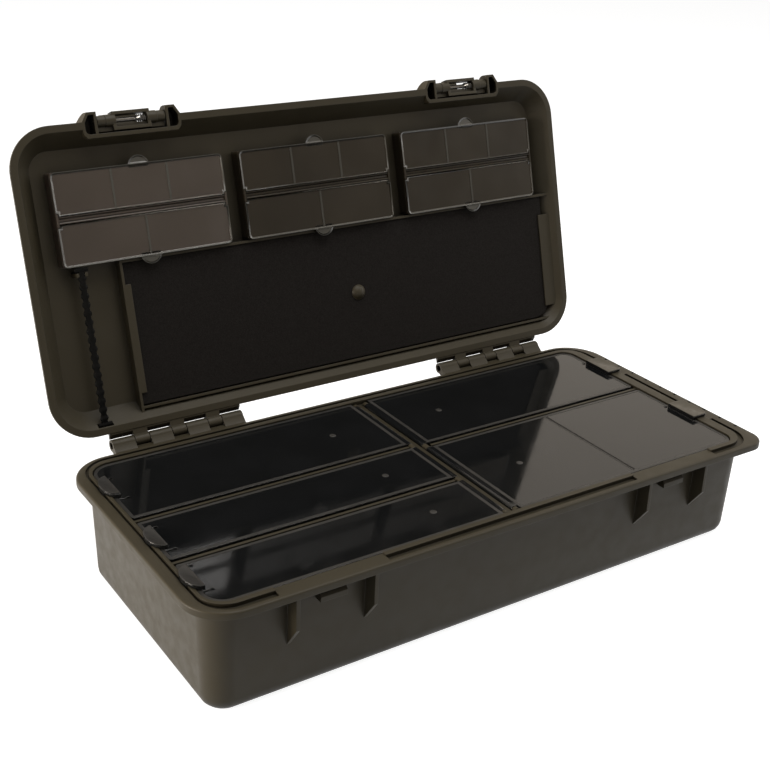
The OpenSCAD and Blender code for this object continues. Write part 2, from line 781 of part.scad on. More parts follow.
// Frame of the rig board: left, bottom and top walls, and the two lips that
// reach over the board's ends
module board_frame() {
    z0 = lid_z0 + frame_d;
    right = half_l - lip_w - slope_k * frame_d + 0.6;
    y_top = v_to_y(frame_v1);
    y_bottom = v_to_y(frame_v0);
    foot_y = half_w - lip_w - slope_k * frame_d + 0.6;
    block(frame_x, frame_x + frame_t, y_top, foot_y, z0, lid_floor + 0.1);
    block(frame_x, right, y_bottom - frame_t, y_bottom, z0, lid_floor + 0.1);
    block(frame_x, right, y_top, y_top + frame_t, z0, lid_floor + 0.1);
    block(frame_x, frame_x + frame_t + lip_over, v_to_y(lip_v1), v_to_y(lip_v0), z0, z0 + 0.8);
    block(foam_x1 - lip_over, right, v_to_y(lip_v1), v_to_y(lip_v0), z0, z0 + 0.8);
}

function board_mid() = [(frame_x + frame_t + foam_x1) / 2, v_to_y((frame_v0 + frame_v1) / 2)];

// Ribs and boss under the board
module board_rests() {
    z0 = lid_z0 + foam_d + foam_t + 0.02;
    for (i = [-1, 1])
        block(board_mid()[0] + i * rest_x - 1, board_mid()[0] + i * rest_x + 1,
              v_to_y(frame_v1 - rest_in), v_to_y(frame_v0 + rest_in), z0, lid_floor + 0.1);
    translate([board_mid()[0], board_mid()[1], z0]) cylinder(d = 9, h = lid_floor - z0 + 0.1);
}

function bit_x(i) = (i - 1) * bit_pitch;

// Low bosses that the bit boxes push over
module bit_bosses() {
    inset = bit_t + 0.2;
    for (i = [0 : 2])
        block(bit_x(i) - bit_l / 2 + inset, bit_x(i) + bit_l / 2 - inset,
              v_to_y(bit_v) - bit_w / 2 + inset, v_to_y(bit_v) + bit_w / 2 - inset,
              lid_floor - bit_boss_h, lid_floor + 0.1);
}

// Posts that grip the upper end of the rig strip
module strip_posts() {
    z0 = lid_z0 + strip_d0;
    y0 = v_to_y(strip_v1 - 2.6);
    grip = strip_neck / 2 + 0.15;
    for (s = [-1, 1])
        block(strip_x + min(s * grip, s * (grip + 1.6)), strip_x + max(s * grip, s * (grip + 1.6)),
              y0, y0 + 2.2, z0, lid_floor + 0.1);
    block(strip_x - grip - 1.6, strip_x + grip + 1.6, y0, y0 + 2.2, z0 + strip_t + 0.1, lid_floor + 0.1);
}

// Pocket in the lid's sloping wall for the strip's lower end
module strip_pocket() {
    block(strip_x - strip_head / 2 - 0.4, strip_x + strip_head / 2 + 0.4,
          v_to_y(strip_v0 + 3.4), v_to_y(strip_v0 - 0.3), lid_z0 - 1, lid_z0 + strip_d0 + strip_t + 0.1);
}

// Side outline of a latch housing, seen along the box
module cheek_outline(inset) {
    front = -(half_w + latch_out) + inset;
    top = lid_z0 + cheek_h - inset;
    back_r = 6 - inset;
    polygon(concat(
        [[latch_bar_y - (inset > 0 ? latch_bar_t : 0), lid_z0 - inset], [front, lid_z0 - inset]],
        arc([front + back_r, top - back_r], back_r, 180, -90),
        [[latch_bar_y - (inset > 0 ? latch_bar_t : 0), top]]));
}

// A hollow wedge-shaped cheek: side is -1 or 1 about the middle of its latch
module cheek(side) {
    cheek_part(side, 0);
}

module cheek_hollow(side) {
    cheek_part(side, cheek_t);
}

// The cheek drawn in by an inset: cut at its far corner, round at its near one
module cheek_part(side, inset) {
    outer = latch_w / 2 - inset;
    inner = latch_in / 2 + inset;
    cut = cheek_cut - inset / 2;
    far = -(half_w + latch_out) + inset;
    near = latch_bar_y - (inset > 0 ? latch_bar_t : 0);
    r = cheek_corner - inset;
    intersection() {
        along_x(min(side * inner, side * outer), max(side * inner, side * outer)) cheek_outline(inset);
        translate([0, 0, lid_z0 - 2 * inset]) linear_extrude(cheek_h + 2 * inset) scale([side, 1, 1])
            polygon(concat(
                [[inner, far], [inner, near]],
                arc([outer - r, near - r], r, 90, -90),
                [[outer, far + cut * 1.6], [outer - cut, far]]));
    }
}

// Inner wall of the opening between the two cheeks
module latch_bar() {
    z1 = lid_z0 + (latch_bar_y + half_w - lip_w) / slope_k + 1.5;
    block(-latch_w / 2 + 2, latch_w / 2 - 2, latch_bar_y - latch_bar_t, latch_bar_y, lid_z0, z1);
}

module latch_opening() {
    block(-latch_in / 2, latch_in / 2, -(half_w + latch_out + 2), latch_bar_y - latch_bar_t,
          lid_z0 - 1, lid_top + 1);
}

module lid_shell() {
    color(OLIVE) open_lid() difference() {
        union() {
            difference() {
                lid_skin();
                for (side = [-1, 1]) translate([side * hinge_x, 0, 0]) latch_opening();
            }
            board_frame();
            board_rests();
            bit_bosses();
            strip_posts();
            for (side = [-1, 1]) {
                lid_knuckles(side);
                translate([side * hinge_x, 0, 0]) {
                    latch_bar();
                    for (s = [-1, 1]) cheek(s);
                }
            }
        }
        for (side = [-1, 1]) {
            translate([side * hinge_x, 0, 0]) {
                for (s = [-1, 1]) cheek_hollow(s);
                rod_x(-latch_in / 2 - cheek_t - 0.4, latch_in / 2 + cheek_t + 0.4, latch_y, latch_z,
                      latch_pin_d + 2 * run_gap);
            }
            rod_x(side * hinge_x - hinge_len / 2 - 1, side * hinge_x + hinge_len / 2 + 1,
                  hinge_y, hinge_z, pin_d + 2 * run_gap);
        }
        strip_pocket();
        translate([board_mid()[0], board_mid()[1], lid_z0])
            cylinder(d = knob_shank_d + 2 * run_gap, h = lid_d);
    }
}

module foam_board() {
    z0 = lid_z0 + foam_d;
    foam_x0 = frame_x + frame_t + 0.2;
    y_top = v_to_y(frame_v1 - frame_t - 0.2);
    y_bottom = v_to_y(frame_v0 + frame_t + 0.8);
    color(BLACK) open_lid() difference() {
        translate([0, 0, z0]) linear_extrude(foam_t) polygon(concat(
            [[foam_x1, y_top], [foam_x0, y_top], [foam_x0, y_bottom]],
            arc([foam_x1 - foam_r, y_bottom - foam_r], foam_r, 90, -90)));
        translate([board_mid()[0], board_mid()[1], z0 - 1])
            cylinder(d = knob_shank_d + 2 * run_gap, h = foam_t + 2);
    }
}

// Domed stud that holds the board to its boss
module board_knob() {
    z0 = lid_z0 + foam_d;
    dome_h = 2.8;
    dome_r = (knob_d * knob_d / 4 + dome_h * dome_h) / (2 * dome_h);
    reach = lid_d - foam_d - 0.2;
    start = asin(knob_d / 2 / dome_r);
    color(OLIVE) open_lid() translate([board_mid()[0], board_mid()[1], z0 - 0.02]) rotate_extrude()
        polygon(concat(
            [[0, 0], [0, reach], [knob_shank_d / 2, reach], [knob_shank_d / 2, 0], [knob_d / 2, 0]],
            [for (i = [1 : 5]) let (a = start * (1 - i / 6))
                [dome_r * sin(a), dome_r - dome_h - dome_r * cos(a)]],
            [[0, -dome_h]]));
}

// Beaded rubber strip with a cross head at each end
module rig_strip() {
    z0 = lid_z0 + strip_d0;
    y0 = v_to_y(strip_v1);
    y1 = v_to_y(strip_v0);
    head_t = 2;
    n = floor((y1 - y0 - 2 * head_t - 6) / bead_pitch);
    first = (y0 + y1) / 2 - (n - 1) * bead_pitch / 2 + 0.8;
    color(BLACK) open_lid() {
        block(strip_x - strip_neck / 2, strip_x + strip_neck / 2, y0, y1, z0, z0 + strip_t);
        for (y = [y0, y1 - head_t])
            block(strip_x - strip_head / 2, strip_x + strip_head / 2, y, y + head_t, z0, z0 + strip_t);
        for (i = [0 : n - 1])
            translate([strip_x, first + i * bead_pitch, z0]) cylinder(d = bead_d, h = strip_t);
    }
}

// ---------------------------------------------------------------- latch levers

// The lever wraps round the flange in a C: a hollow hub on the pin, a finger
// plate down the front and a hook under the keeper
module lever_outline(inset) {
    y = latch_y;
    z = latch_z;
    front = -lever_front;
    inner = -(half_w + 0.6);
    polygon([
        [front + inset, z + hub_top + (inset > 0 ? 1 : 0)],
        [y + hub_back - inset, z + hub_top + (inset > 0 ? 1 : 0)],
        [y + hub_back - inset, z - (latch_z - lid_z0) + 0.6 + inset],
        [inner - inset, z - (latch_z - lid_z0) + 0.6 + inset],
        [inner - inset, z - lever_l + hook_t + inset * 1.4],
        [y + hook_back, z - lever_l + hook_t + inset * 1.4],
        [y + hook_back - 0.8, z - lever_l + 0.6],
        [front + 2, z - lever_l], [front, z - lever_l + 2], [front + inset, z - lever_l + 3]]);
}

module latch_lever(side) {
    half = lever_w / 2;
    inside = half - lever_t;
    barrel = plate_w / 2;
    color(OLIVE) open_lid() fold_lever() translate([side * hinge_x, 0, 0]) difference() {
        union() {
            difference() {
                along_x(-half, half) lever_outline(0);
                block(-inside, inside, -lever_front + lever_t, latch_y + hub_back - lever_t,
                      latch_z - lever_l + hook_t + 1, latch_z + hub_top + 1);
            }
            block(-half + 1, spring_x0 - 0.6, latch_y - 2.6, latch_y - 1.5, lid_z0 + 0.6, latch_z + 0.4);
            for (s = [-1, 1]) {
                rod_x(min(s * inside, s * barrel), max(s * inside, s * barrel),
                      latch_y, latch_z, 2 * barrel_r);
                rod_x(min(s * inside, s * (half + collar_w)), max(s * inside, s * (half + collar_w)),
                      latch_y, latch_z, 2 * collar_r);
            }
            lever_plate(barrel);
        }
        rod_x(-barrel - 1, barrel + 1, latch_y, latch_z, latch_pin_d + 2 * run_gap);
    }
}

// Finger plate, as wide as the housing lets it be, with round lower corners
module lever_plate(half) {
    r = 3;
    foot = latch_z - lever_l;
    intersection() {
        along_x(-half, half) polygon([
            [-lever_front, foot], [-lever_front, latch_z + 0.5], [latch_y - barrel_r + 1.2, latch_z + 0.5],
            [-lever_front + lever_t, latch_z - 3], [-lever_front + lever_t, foot]]);
        along_y(-lever_front - 1, latch_y) polygon(concat(
            [[-half, latch_z + 1], [half, latch_z + 1]],
            arc([half - r, foot + r], r, 0, -90),
            arc([-half + r, foot + r], r, -90, -90)));
    }
}

module latch_pin(side) {
    reach = latch_in / 2 + cheek_t - 0.1;
    color(STEEL) open_lid() translate([side * hinge_x, 0, 0])
        rod_x(-reach, reach, latch_y, latch_z, latch_pin_d);
}

// Torsion spring on the pin, inside the lever's hub: one unbroken tube
module latch_spring(side) {
    wire_r = spring_wire / 2;
    coil_r = latch_pin_d / 2 + wire_r + 0.2;
    per_turn = 8;
    pitch = spring_pitch;
    steps = spring_turns * per_turn;
    sides = 6;
    path = [for (i = [0 : steps]) let (a = 360 * i / per_turn)
        [i * pitch / per_turn, coil_r * cos(a), coil_r * sin(a)]];
    points = [for (i = [0 : steps], k = [0 : sides - 1])
        let (a = 360 * i / per_turn, b = 360 * k / sides)
        path[i] + [wire_r * sin(b), wire_r * cos(b) * cos(a), wire_r * cos(b) * sin(a)]];
    faces = concat(
        [[for (k = [0 : sides - 1]) k]],
        [[for (k = [sides - 1 : -1 : 0]) steps * sides + k]],
        [for (i = [0 : steps - 1], k = [0 : sides - 1], h = [0, 1])
            let (a = i * sides + k, b = i * sides + (k + 1) % sides, c = a + sides, d = b + sides)
            h == 0 ? [a, c, b] : [b, c, d]]);
    color(STEEL) open_lid() translate([side * hinge_x + spring_x0, latch_y, latch_z])
        polyhedron(points, faces);
}

// ---------------------------------------------------------------- bit boxes

// Places a bit box: local Z points out of the open lid, local Y towards its top
module place_bit(i) {
    open_lid() translate([bit_x(i), v_to_y(bit_v), lid_floor]) rotate([180, 0, 0]) children();
}

module bit_tray_solid() {
    hl = bit_l / 2;
    hw = bit_w / 2;
    r = 1.6;
    cell_top = bit_hinge_z - bit_hinge_r - 0.2;
    floor_z = bit_foot + bit_floor;
    in_l = hl - bit_t;
    in_w = hw - bit_t;
    strip = bit_post_y - 0.6;
    third = 2 * in_l / 3;
    difference() {
        union() {
            linear_extrude(bit_tray_h) rounded(hl, hw, r);
            for (s = [-1, 1])
                block(min(s * hl, s * (hl - bit_t)), max(s * hl, s * (hl - bit_t)),
                      -bit_post_y, bit_post_y, 0, bit_h);
        }
        translate([0, 0, -1]) linear_extrude(bit_foot + 1) rounded(hl - bit_t, hw - bit_t, 0.6);
        block(-in_l, in_l, -strip, strip, cell_top, bit_h + 1);
        for (i = [0 : 2])
            block(-in_l + i * third + (i > 0 ? bit_t / 2 : 0),
                  -in_l + (i + 1) * third - (i < 2 ? bit_t / 2 : 0),
                  strip / 2, in_w, floor_z, bit_h);
        for (s = [-1, 1])
            block(s < 0 ? -in_l : bit_t / 2, s < 0 ? -bit_t / 2 : in_l,
                  -in_w, -strip / 2, floor_z, bit_h);
        for (y = [-bit_hinge_y, bit_hinge_y])
            rod_x(-hl - 1, hl + 1, y, bit_hinge_z, 2 * (bit_peg_r + run_gap));
    }
}

// One of the two lids of a bit box, drawn on the +Y side of the hinge
module bit_lid_solid() {
    hl = bit_l / 2;
    hw = bit_w / 2;
    tube_l = hl - bit_t - 0.3;
    z0 = bit_h - bit_lid_t;
    translate([0, 0, z0]) linear_extrude(bit_lid_t) {
        translate([-tube_l, bit_hinge_y]) square([2 * tube_l, 2.4]);
        translate([-hl, bit_post_y + 0.3]) square([2 * hl, hw - bit_post_y - 0.3]);
        intersection() {
            translate([0, hw - 2]) circle(d = bit_tab_d);
            translate([-bit_tab_d, hw - 1]) square([2 * bit_tab_d, bit_tab_d]);
        }
    }
    rod_x(-tube_l, tube_l, bit_hinge_y, bit_hinge_z, 2 * bit_hinge_r);
    for (s = [-1, 1])
        rod_x(min(s * (tube_l - 1), s * (hl - 0.1)), max(s * (tube_l - 1), s * (hl - 0.1)),
              bit_hinge_y, bit_hinge_z, 2 * bit_peg_r);
}

module bit_tray(i) {
    color(SMOKE) place_bit(i) bit_tray_solid();
}

module bit_lid(i, upper) {
    color(SMOKE) place_bit(i) mirror([0, upper ? 0 : 1, 0]) bit_lid_solid();
}

// ---------------------------------------------------------------- assembly

base_shell();
centre_wall();
row_wall(-1, row_lr);  // row_wall_left_rear
row_wall(-1, row_lf);  // row_wall_left_front
row_wall(1, row_r);  // row_wall_right
cell_wall();  // cell_wall_right
clear_rod(-1);  // clear_rod_left
clear_rod(1);  // clear_rod_right
clear_lid_left(row_lr, open_y, false, true, (row_lr + open_y) / 2 + pad_shift);  // clear_lid_left_rear
clear_lid_left(row_lf, row_lr, false, false, (row_lf + row_lr) / 2);  // clear_lid_left_middle
clear_lid_left(-open_y, row_lf, true, false, (row_lf - open_y) / 2 + pad_shift);  // clear_lid_left_front
clear_lid_right(row_r, open_y, false, true);  // clear_lid_right_rear
clear_lid_right(-open_y, row_r, true, false);  // clear_lid_right_front
hinge_pin(-1);  // hinge_pin_left
hinge_pin(1);  // hinge_pin_right
lid_shell();
foam_board();
board_knob();
rig_strip();
latch_lever(-1);  // latch_lever_left
latch_lever(1);  // latch_lever_right
latch_pin(-1);  // latch_pin_left
latch_pin(1);  // latch_pin_right
latch_spring(-1);  // latch_spring_left
latch_spring(1);  // latch_spring_right
bit_tray(0);  // bit_tray_left
bit_tray(1);  // bit_tray_middle
bit_tray(2);  // bit_tray_right
bit_lid(0, true);  // bit_lid_left_upper
bit_lid(0, false);  // bit_lid_left_lower
bit_lid(1, true);  // bit_lid_middle_upper
bit_lid(1, false);  // bit_lid_middle_lower
bit_lid(2, true);  // bit_lid_right_upper
bit_lid(2, false);  // bit_lid_right_lower
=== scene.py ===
# %% [markdown]
# # An open fishing tackle box
#
# The box is moulded in olive plastic and stands open. Its deep base has five
# smoked clear lids over its compartments. Its shallow main lid carries three
# frosted bit boxes, a black foam rig board and a beaded rubber strip. The CAD
# model already has every solid in its place, in metres, so this lesson dresses
# it: finishes, soft edges, and the small pieces that need more than CAD gives.

# %% Load the frame
import json
import math

import bmesh
import bpy
from mathutils import Matrix, Vector

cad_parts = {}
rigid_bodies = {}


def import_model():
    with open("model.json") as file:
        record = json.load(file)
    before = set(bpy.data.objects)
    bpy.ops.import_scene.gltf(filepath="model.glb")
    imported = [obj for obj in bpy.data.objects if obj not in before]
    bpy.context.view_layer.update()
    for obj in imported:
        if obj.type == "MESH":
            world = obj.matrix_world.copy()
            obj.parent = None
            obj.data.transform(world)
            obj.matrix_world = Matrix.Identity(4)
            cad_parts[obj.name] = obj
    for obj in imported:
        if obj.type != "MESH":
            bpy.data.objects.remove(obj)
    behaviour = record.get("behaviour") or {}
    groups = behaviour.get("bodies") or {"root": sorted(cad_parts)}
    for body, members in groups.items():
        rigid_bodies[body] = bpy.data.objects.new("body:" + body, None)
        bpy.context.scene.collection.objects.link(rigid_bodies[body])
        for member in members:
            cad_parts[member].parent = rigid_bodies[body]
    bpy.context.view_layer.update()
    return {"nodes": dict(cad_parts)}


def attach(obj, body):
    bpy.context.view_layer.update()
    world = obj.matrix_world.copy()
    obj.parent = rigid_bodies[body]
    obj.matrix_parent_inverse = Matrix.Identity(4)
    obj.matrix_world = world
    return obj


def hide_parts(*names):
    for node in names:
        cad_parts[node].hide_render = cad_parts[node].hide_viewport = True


for leftover in list(bpy.data.objects):
    bpy.data.objects.remove(leftover)
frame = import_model()
nodes = frame["nodes"]
print("CAD nodes:", len(nodes))

# %% [markdown]
# ## The camera
#
# The photograph looks down on the box from its front left corner. A camera can
# be aimed by hand, but here its place, target and slight tilt were measured
# from the flange's corners in the picture, so they are typed in as numbers.

# %% Camera
EYE = Vector((-0.38396, -0.511, 0.3959))
TARGET = Vector((-0.03565, 0.0, 0.1153))
ROLL = math.radians(2.36)
FRAME_PX = 770
FOCAL_PX = 1269.9
CENTRE_PX = (380.83, 383.24)
SENSOR_MM = 36
NEAREST = 0.01

back = (EYE - TARGET).normalized()
level = (-back).cross(Vector((0, 0, 1))).normalized()
upright = level.cross(-back)
right = math.cos(ROLL) * level + math.sin(ROLL) * upright
up = math.cos(ROLL) * upright - math.sin(ROLL) * level

camera_data = bpy.data.cameras.new("photo_camera")
camera = bpy.data.objects.new("photo_camera", camera_data)
bpy.context.scene.collection.objects.link(camera)
camera.matrix_world = Matrix((
    (right.x, up.x, back.x, EYE.x),
    (right.y, up.y, back.y, EYE.y),
    (right.z, up.z, back.z, EYE.z),
    (0, 0, 0, 1)))
camera_data.sensor_width = SENSOR_MM
camera_data.lens = SENSOR_MM * FOCAL_PX / FRAME_PX
camera_data.shift_x = (FRAME_PX / 2 - CENTRE_PX[0]) / FRAME_PX
camera_data.shift_y = (CENTRE_PX[1] - FRAME_PX / 2) / FRAME_PX
camera_data.clip_start = NEAREST
bpy.context.scene.camera = camera
print("lens:", round(camera_data.lens, 2), "mm")

# %% [markdown]
# ## The floor and the white room
#
# A product picture is taken on white paper under soft boxes. The paper must
# look white to the camera and in reflections, and still carry a shadow. So the
# floor adds some light of its own for camera, glossy and transmission rays
# only. The room does nearly the same: it is white to the camera, warm white in
# reflections and almost dark to all other rays, so the lamps light the box.


# %% Node helpers
def node_of(tree, kind, **settings):
    """A new node; a setting fills the field of that name, or else the input."""
    made = tree.nodes.new(kind)
    for name, value in settings.items():
        if hasattr(made, name):
            setattr(made, name, value)
        else:
            made.inputs[name.replace("_", " ")].default_value = value
    return made


def blend_colour(tree, value, one, other):
    """A colour that drifts between two as the value goes from 0 to 1."""
    mix = node_of(tree, "ShaderNodeMix", data_type="RGBA")
    tree.links.new(value, mix.inputs["Factor"])
    for socket in mix.inputs:
        if socket.type == "RGBA":
            socket.default_value = (*(one if socket.name == "A" else other), 1)
    return next(s for s in mix.outputs if s.type == "RGBA")


def seen_directly(tree):
    """1 for camera, glossy and transmission rays, and 0 for the rest."""
    path = node_of(tree, "ShaderNodeLightPath")
    seen = path.outputs["Is Camera Ray"]
    for kind in ("Is Glossy Ray", "Is Transmission Ray"):
        most = node_of(tree, "ShaderNodeMath", operation="MAXIMUM")
        tree.links.new(seen, most.inputs[0])
        tree.links.new(path.outputs[kind], most.inputs[1])
        seen = most.outputs[0]
    return seen


# %% Floor
FLOOR_REACH = 6
PAPER_GREY = 0.5
PAPER_LIFT = 0.92
WHITE = (1, 1, 1)

floor_mesh = bmesh.new()
bmesh.ops.create_grid(floor_mesh, x_segments=1, y_segments=1, size=FLOOR_REACH)
floor_data = bpy.data.meshes.new("paper")
floor_mesh.to_mesh(floor_data)
floor_mesh.free()
floor = bpy.data.objects.new("paper", floor_data)
bpy.context.scene.collection.objects.link(floor)

paper = bpy.data.materials.new("white_paper")
paper.use_nodes = True
tree = paper.node_tree
tree.nodes.clear()
matte = node_of(tree, "ShaderNodeBsdfDiffuse", Color=(PAPER_GREY,) * 3 + (1,))
glow = node_of(tree, "ShaderNodeEmission", Color=(*WHITE, 1))
lift = node_of(tree, "ShaderNodeMath", operation="MULTIPLY")
lift.inputs[1].default_value = PAPER_LIFT
tree.links.new(seen_directly(tree), lift.inputs[0])
tree.links.new(lift.outputs[0], glow.inputs["Strength"])
both = node_of(tree, "ShaderNodeAddShader")
tree.links.new(matte.outputs[0], both.inputs[0])
tree.links.new(glow.outputs[0], both.inputs[1])
output = node_of(tree, "ShaderNodeOutputMaterial")
tree.links.new(both.outputs[0], output.inputs["Surface"])
floor_data.materials.append(paper)
print("paper:", round(floor.dimensions.x, 2), "m wide")

# %% World
WARM = (1.0, 0.90, 0.78)
ROOM_LIGHT = 0.05
ROOM_SEEN = 1.0

world = bpy.data.worlds.new("white_room")
bpy.context.scene.world = world
world.use_nodes = True
tree = world.node_tree
tree.nodes.clear()
sky = node_of(tree, "ShaderNodeBackground")
strength = node_of(tree, "ShaderNodeMapRange")
strength.inputs["To Min"].default_value = ROOM_LIGHT
strength.inputs["To Max"].default_value = ROOM_SEEN
tree.links.new(seen_directly(tree), strength.inputs["Value"])
tree.links.new(strength.outputs[0], sky.inputs["Strength"])
path = node_of(tree, "ShaderNodeLightPath")
wall = blend_colour(tree, path.outputs["Is Camera Ray"], WARM, WHITE)
tree.links.new(wall, sky.inputs["Color"])
output = node_of(tree, "ShaderNodeOutputWorld")
tree.links.new(sky.outputs[0], output.inputs["Surface"])
bpy.context.scene.view_settings.view_transform = "Standard"
print("room:", ROOM_SEEN, "when seen,", ROOM_LIGHT, "as light")


# %% Lamps
def soft_box(name, place, aim, size, watts, colour=WHITE):
    """A square area lamp at a place, turned towards a point."""
    data = bpy.data.lights.new(name, "AREA")
    data.size = size
    data.energy = watts
    data.color = colour
    lamp = bpy.data.objects.new(name, data)
    lamp.location = place
    towards = Vector(aim) - Vector(place)
    lamp.rotation_euler = towards.to_track_quat("-Z", "Y").to_euler()
    bpy.context.scene.collection.objects.link(lamp)
    print(name, watts, "W")


soft_box("window_left", place=(-1.3, 0.25, 0.2), aim=(-0.15, 0, 0.05),
         size=0.7, watts=26, colour=(1.0, 0.91, 0.80))
soft_box("soft_top", place=(0.1, -0.2, 1.6), aim=(0, 0, 0.05),
         size=1.2, watts=17)
soft_box("soft_right", place=(1.5, -0.3, 0.8), aim=(0.1, 0, 0.05),
         size=1.0, watts=6.5)

# %% [markdown]
# ## Olive plastic
#
# The case is an injection moulding in a satin olive: a fine spark-eroded grain
# breaks up every reflection, the colour drifts a little where the plastic
# flowed, and wide walls are never quite flat. Image textures could show this,
# but noise in object coordinates needs no unwrapping and stays in place at
# every pose.

# %% Material helpers
EVEN = (1, 1, 1)
NOISE_LOW, NOISE_HIGH = 0.35, 0.65
OPEN_LOW, OPEN_HIGH = 0.2, 0.8
NODE_SAMPLES = 6
PLASTIC_IOR = 1.45


def new_finish(name):
    """A material with only its Principled shader and output."""
    made = bpy.data.materials.new(name)
    made.use_nodes = True
    tree = made.node_tree
    tree.nodes.clear()
    shader = tree.nodes.new("ShaderNodeBsdfPrincipled")
    output = tree.nodes.new("ShaderNodeOutputMaterial")
    tree.links.new(shader.outputs[0], output.inputs["Surface"])
    return made, tree, shader


def noise(tree, scale, detail, stretch=EVEN):
    """Noise over the object's own coordinates, in metres."""
    place = node_of(tree, "ShaderNodeTexCoord")
    turn = node_of(tree, "ShaderNodeMapping")
    turn.inputs["Scale"].default_value = stretch
    grain = node_of(tree, "ShaderNodeTexNoise", Scale=scale, Detail=detail)
    tree.links.new(place.outputs["Object"], turn.inputs["Vector"])
    tree.links.new(turn.outputs["Vector"], grain.inputs["Vector"])
    return grain.outputs["Fac"]


def between(tree, value, low, high, edge0=NOISE_LOW, edge1=NOISE_HIGH):
    """Carries a value from edge0..edge1 to low..high."""
    span = node_of(tree, "ShaderNodeMapRange")
    for name, number in (("From Min", edge0), ("From Max", edge1),
                         ("To Min", low), ("To Max", high)):
        span.inputs[name].default_value = number
    tree.links.new(value, span.inputs["Value"])
    return span.outputs[0]


def drift(tree, grain, low, high):
    """A colour that wanders between two with the noise."""
    return blend_colour(tree, between(tree, grain, 0, 1), low, high)


def roughen(tree, shader, grain, low, high):
    """Roughness that wanders between two values with the noise."""
    rough = between(tree, grain, low, high)
    tree.links.new(rough, shader.inputs["Roughness"])


def relief(tree, shader, edge, *layers):
    """Rounds edges by a radius, then adds bumps.

    A layer is (value, strength, depth), and lengths are in metres.
    """
    soft = node_of(tree, "ShaderNodeBevel", samples=NODE_SAMPLES, Radius=edge)
    normal = soft.outputs["Normal"]
    for value, strength, depth in layers:
        bump = node_of(tree, "ShaderNodeBump", Strength=strength, Distance=depth)
        tree.links.new(value, bump.inputs["Height"])
        tree.links.new(normal, bump.inputs["Normal"])
        normal = bump.outputs["Normal"]
    tree.links.new(normal, shader.inputs["Normal"])


def paint_shade_in_recesses(tree, colour, reach, least):
    """Paints shade into a colour: darker down grooves and in corners, where
    little light gets.
    """
    near = node_of(tree, "ShaderNodeAmbientOcclusion",
                   samples=NODE_SAMPLES, Distance=reach)
    openness = between(tree, near.outputs["AO"], least, 1, OPEN_LOW, OPEN_HIGH)
    scale = node_of(tree, "ShaderNodeVectorMath", operation="SCALE")
    tree.links.new(colour, scale.inputs[0])
    tree.links.new(openness, scale.inputs["Scale"])
    return scale.outputs["Vector"]


# %% Olive finish
OLIVE_LOW, OLIVE_HIGH = (0.038, 0.0317, 0.0190), (0.043, 0.0362, 0.0225)
GROOVE_REACH = 0.013
GROOVE_LEAST = 0.15

olive, tree, shader = new_finish("olive_satin_moulding")
flow = drift(tree, noise(tree, 14, 3), OLIVE_LOW, OLIVE_HIGH)
# Painted shade: the olive colour is darkened down grooves and in corners.
shaded = paint_shade_in_recesses(tree, flow, GROOVE_REACH, GROOVE_LEAST)
tree.links.new(shaded, shader.inputs["Base Color"])
roughen(tree, shader, noise(tree, 120, 3), 0.40, 0.50)
shader.inputs["Specular IOR Level"].default_value = 0.2
relief(tree, shader, 0.0005,
       (noise(tree, 6, 1), 0.05, 0.0012),
       (noise(tree, 1500, 2), 0.10, 0.0002))
print(olive.name, "has", len(tree.nodes), "nodes")

# %% [markdown]
# ## Smoked sheet
#
# The five lids are a glossy grey plastic that shows a dim view of the rows
# below and a clear one of the room. Real glass refraction alone would let the
# white paper shine through, so part of the light is taken by a dark body and
# part is let through. A slow bump makes the reflections waver as they do on a
# moulded sheet.

# %% Smoked clear finish
SMOKE_LOW, SMOKE_HIGH = (0.030, 0.032, 0.033), (0.038, 0.040, 0.042)

smoke, tree, shader = new_finish("smoked_clear_sheet")
body = drift(tree, noise(tree, 30, 2), SMOKE_LOW, SMOKE_HIGH)
tree.links.new(body, shader.inputs["Base Color"])
shader.inputs["Transmission Weight"].default_value = 0.8
shader.inputs["Specular IOR Level"].default_value = 0.4
shader.inputs["IOR"].default_value = PLASTIC_IOR
roughen(tree, shader, noise(tree, 60, 2), 0.05, 0.09)
relief(tree, shader, 0.0006, (noise(tree, 9, 1), 0.12, 0.001))
print(smoke.name, "has", len(tree.nodes), "nodes")

# %% [markdown]
# ## Satin edges
#
# Where the clear sheet is thick, at its rims and finger tabs, the mould is
# left matt and the plastic reads paler. A second finish on small pieces of
# their own keeps that border crisp, which a painted mask would blur.


# %% Satin edge finishes
def satin_finish(name, low, high):
    """The matt skin of a clear sheet's thick edges and tabs."""
    made, tree, shader = new_finish(name)
    skin = drift(tree, noise(tree, 90, 2), low, high)
    tree.links.new(skin, shader.inputs["Base Color"])
    shader.inputs["Specular IOR Level"].default_value = 0.3
    roughen(tree, shader, noise(tree, 300, 2), 0.36, 0.48)
    relief(tree, shader, 0.0003, (noise(tree, 400, 1), 0.08, 0.0002))
    return made


satin = satin_finish("satin_smoke_edge",
                     (0.026, 0.025, 0.023), (0.036, 0.034, 0.031))
# The tan copy, for the right lids' tabs, is painted paler: a painted reflection
# of the pale room.
reflection_painted_satin = satin_finish("satin_tab_painted_reflection",
                         (0.066, 0.058, 0.043), (0.084, 0.074, 0.056))
print("satin edges:", satin.name, "and", reflection_painted_satin.name)
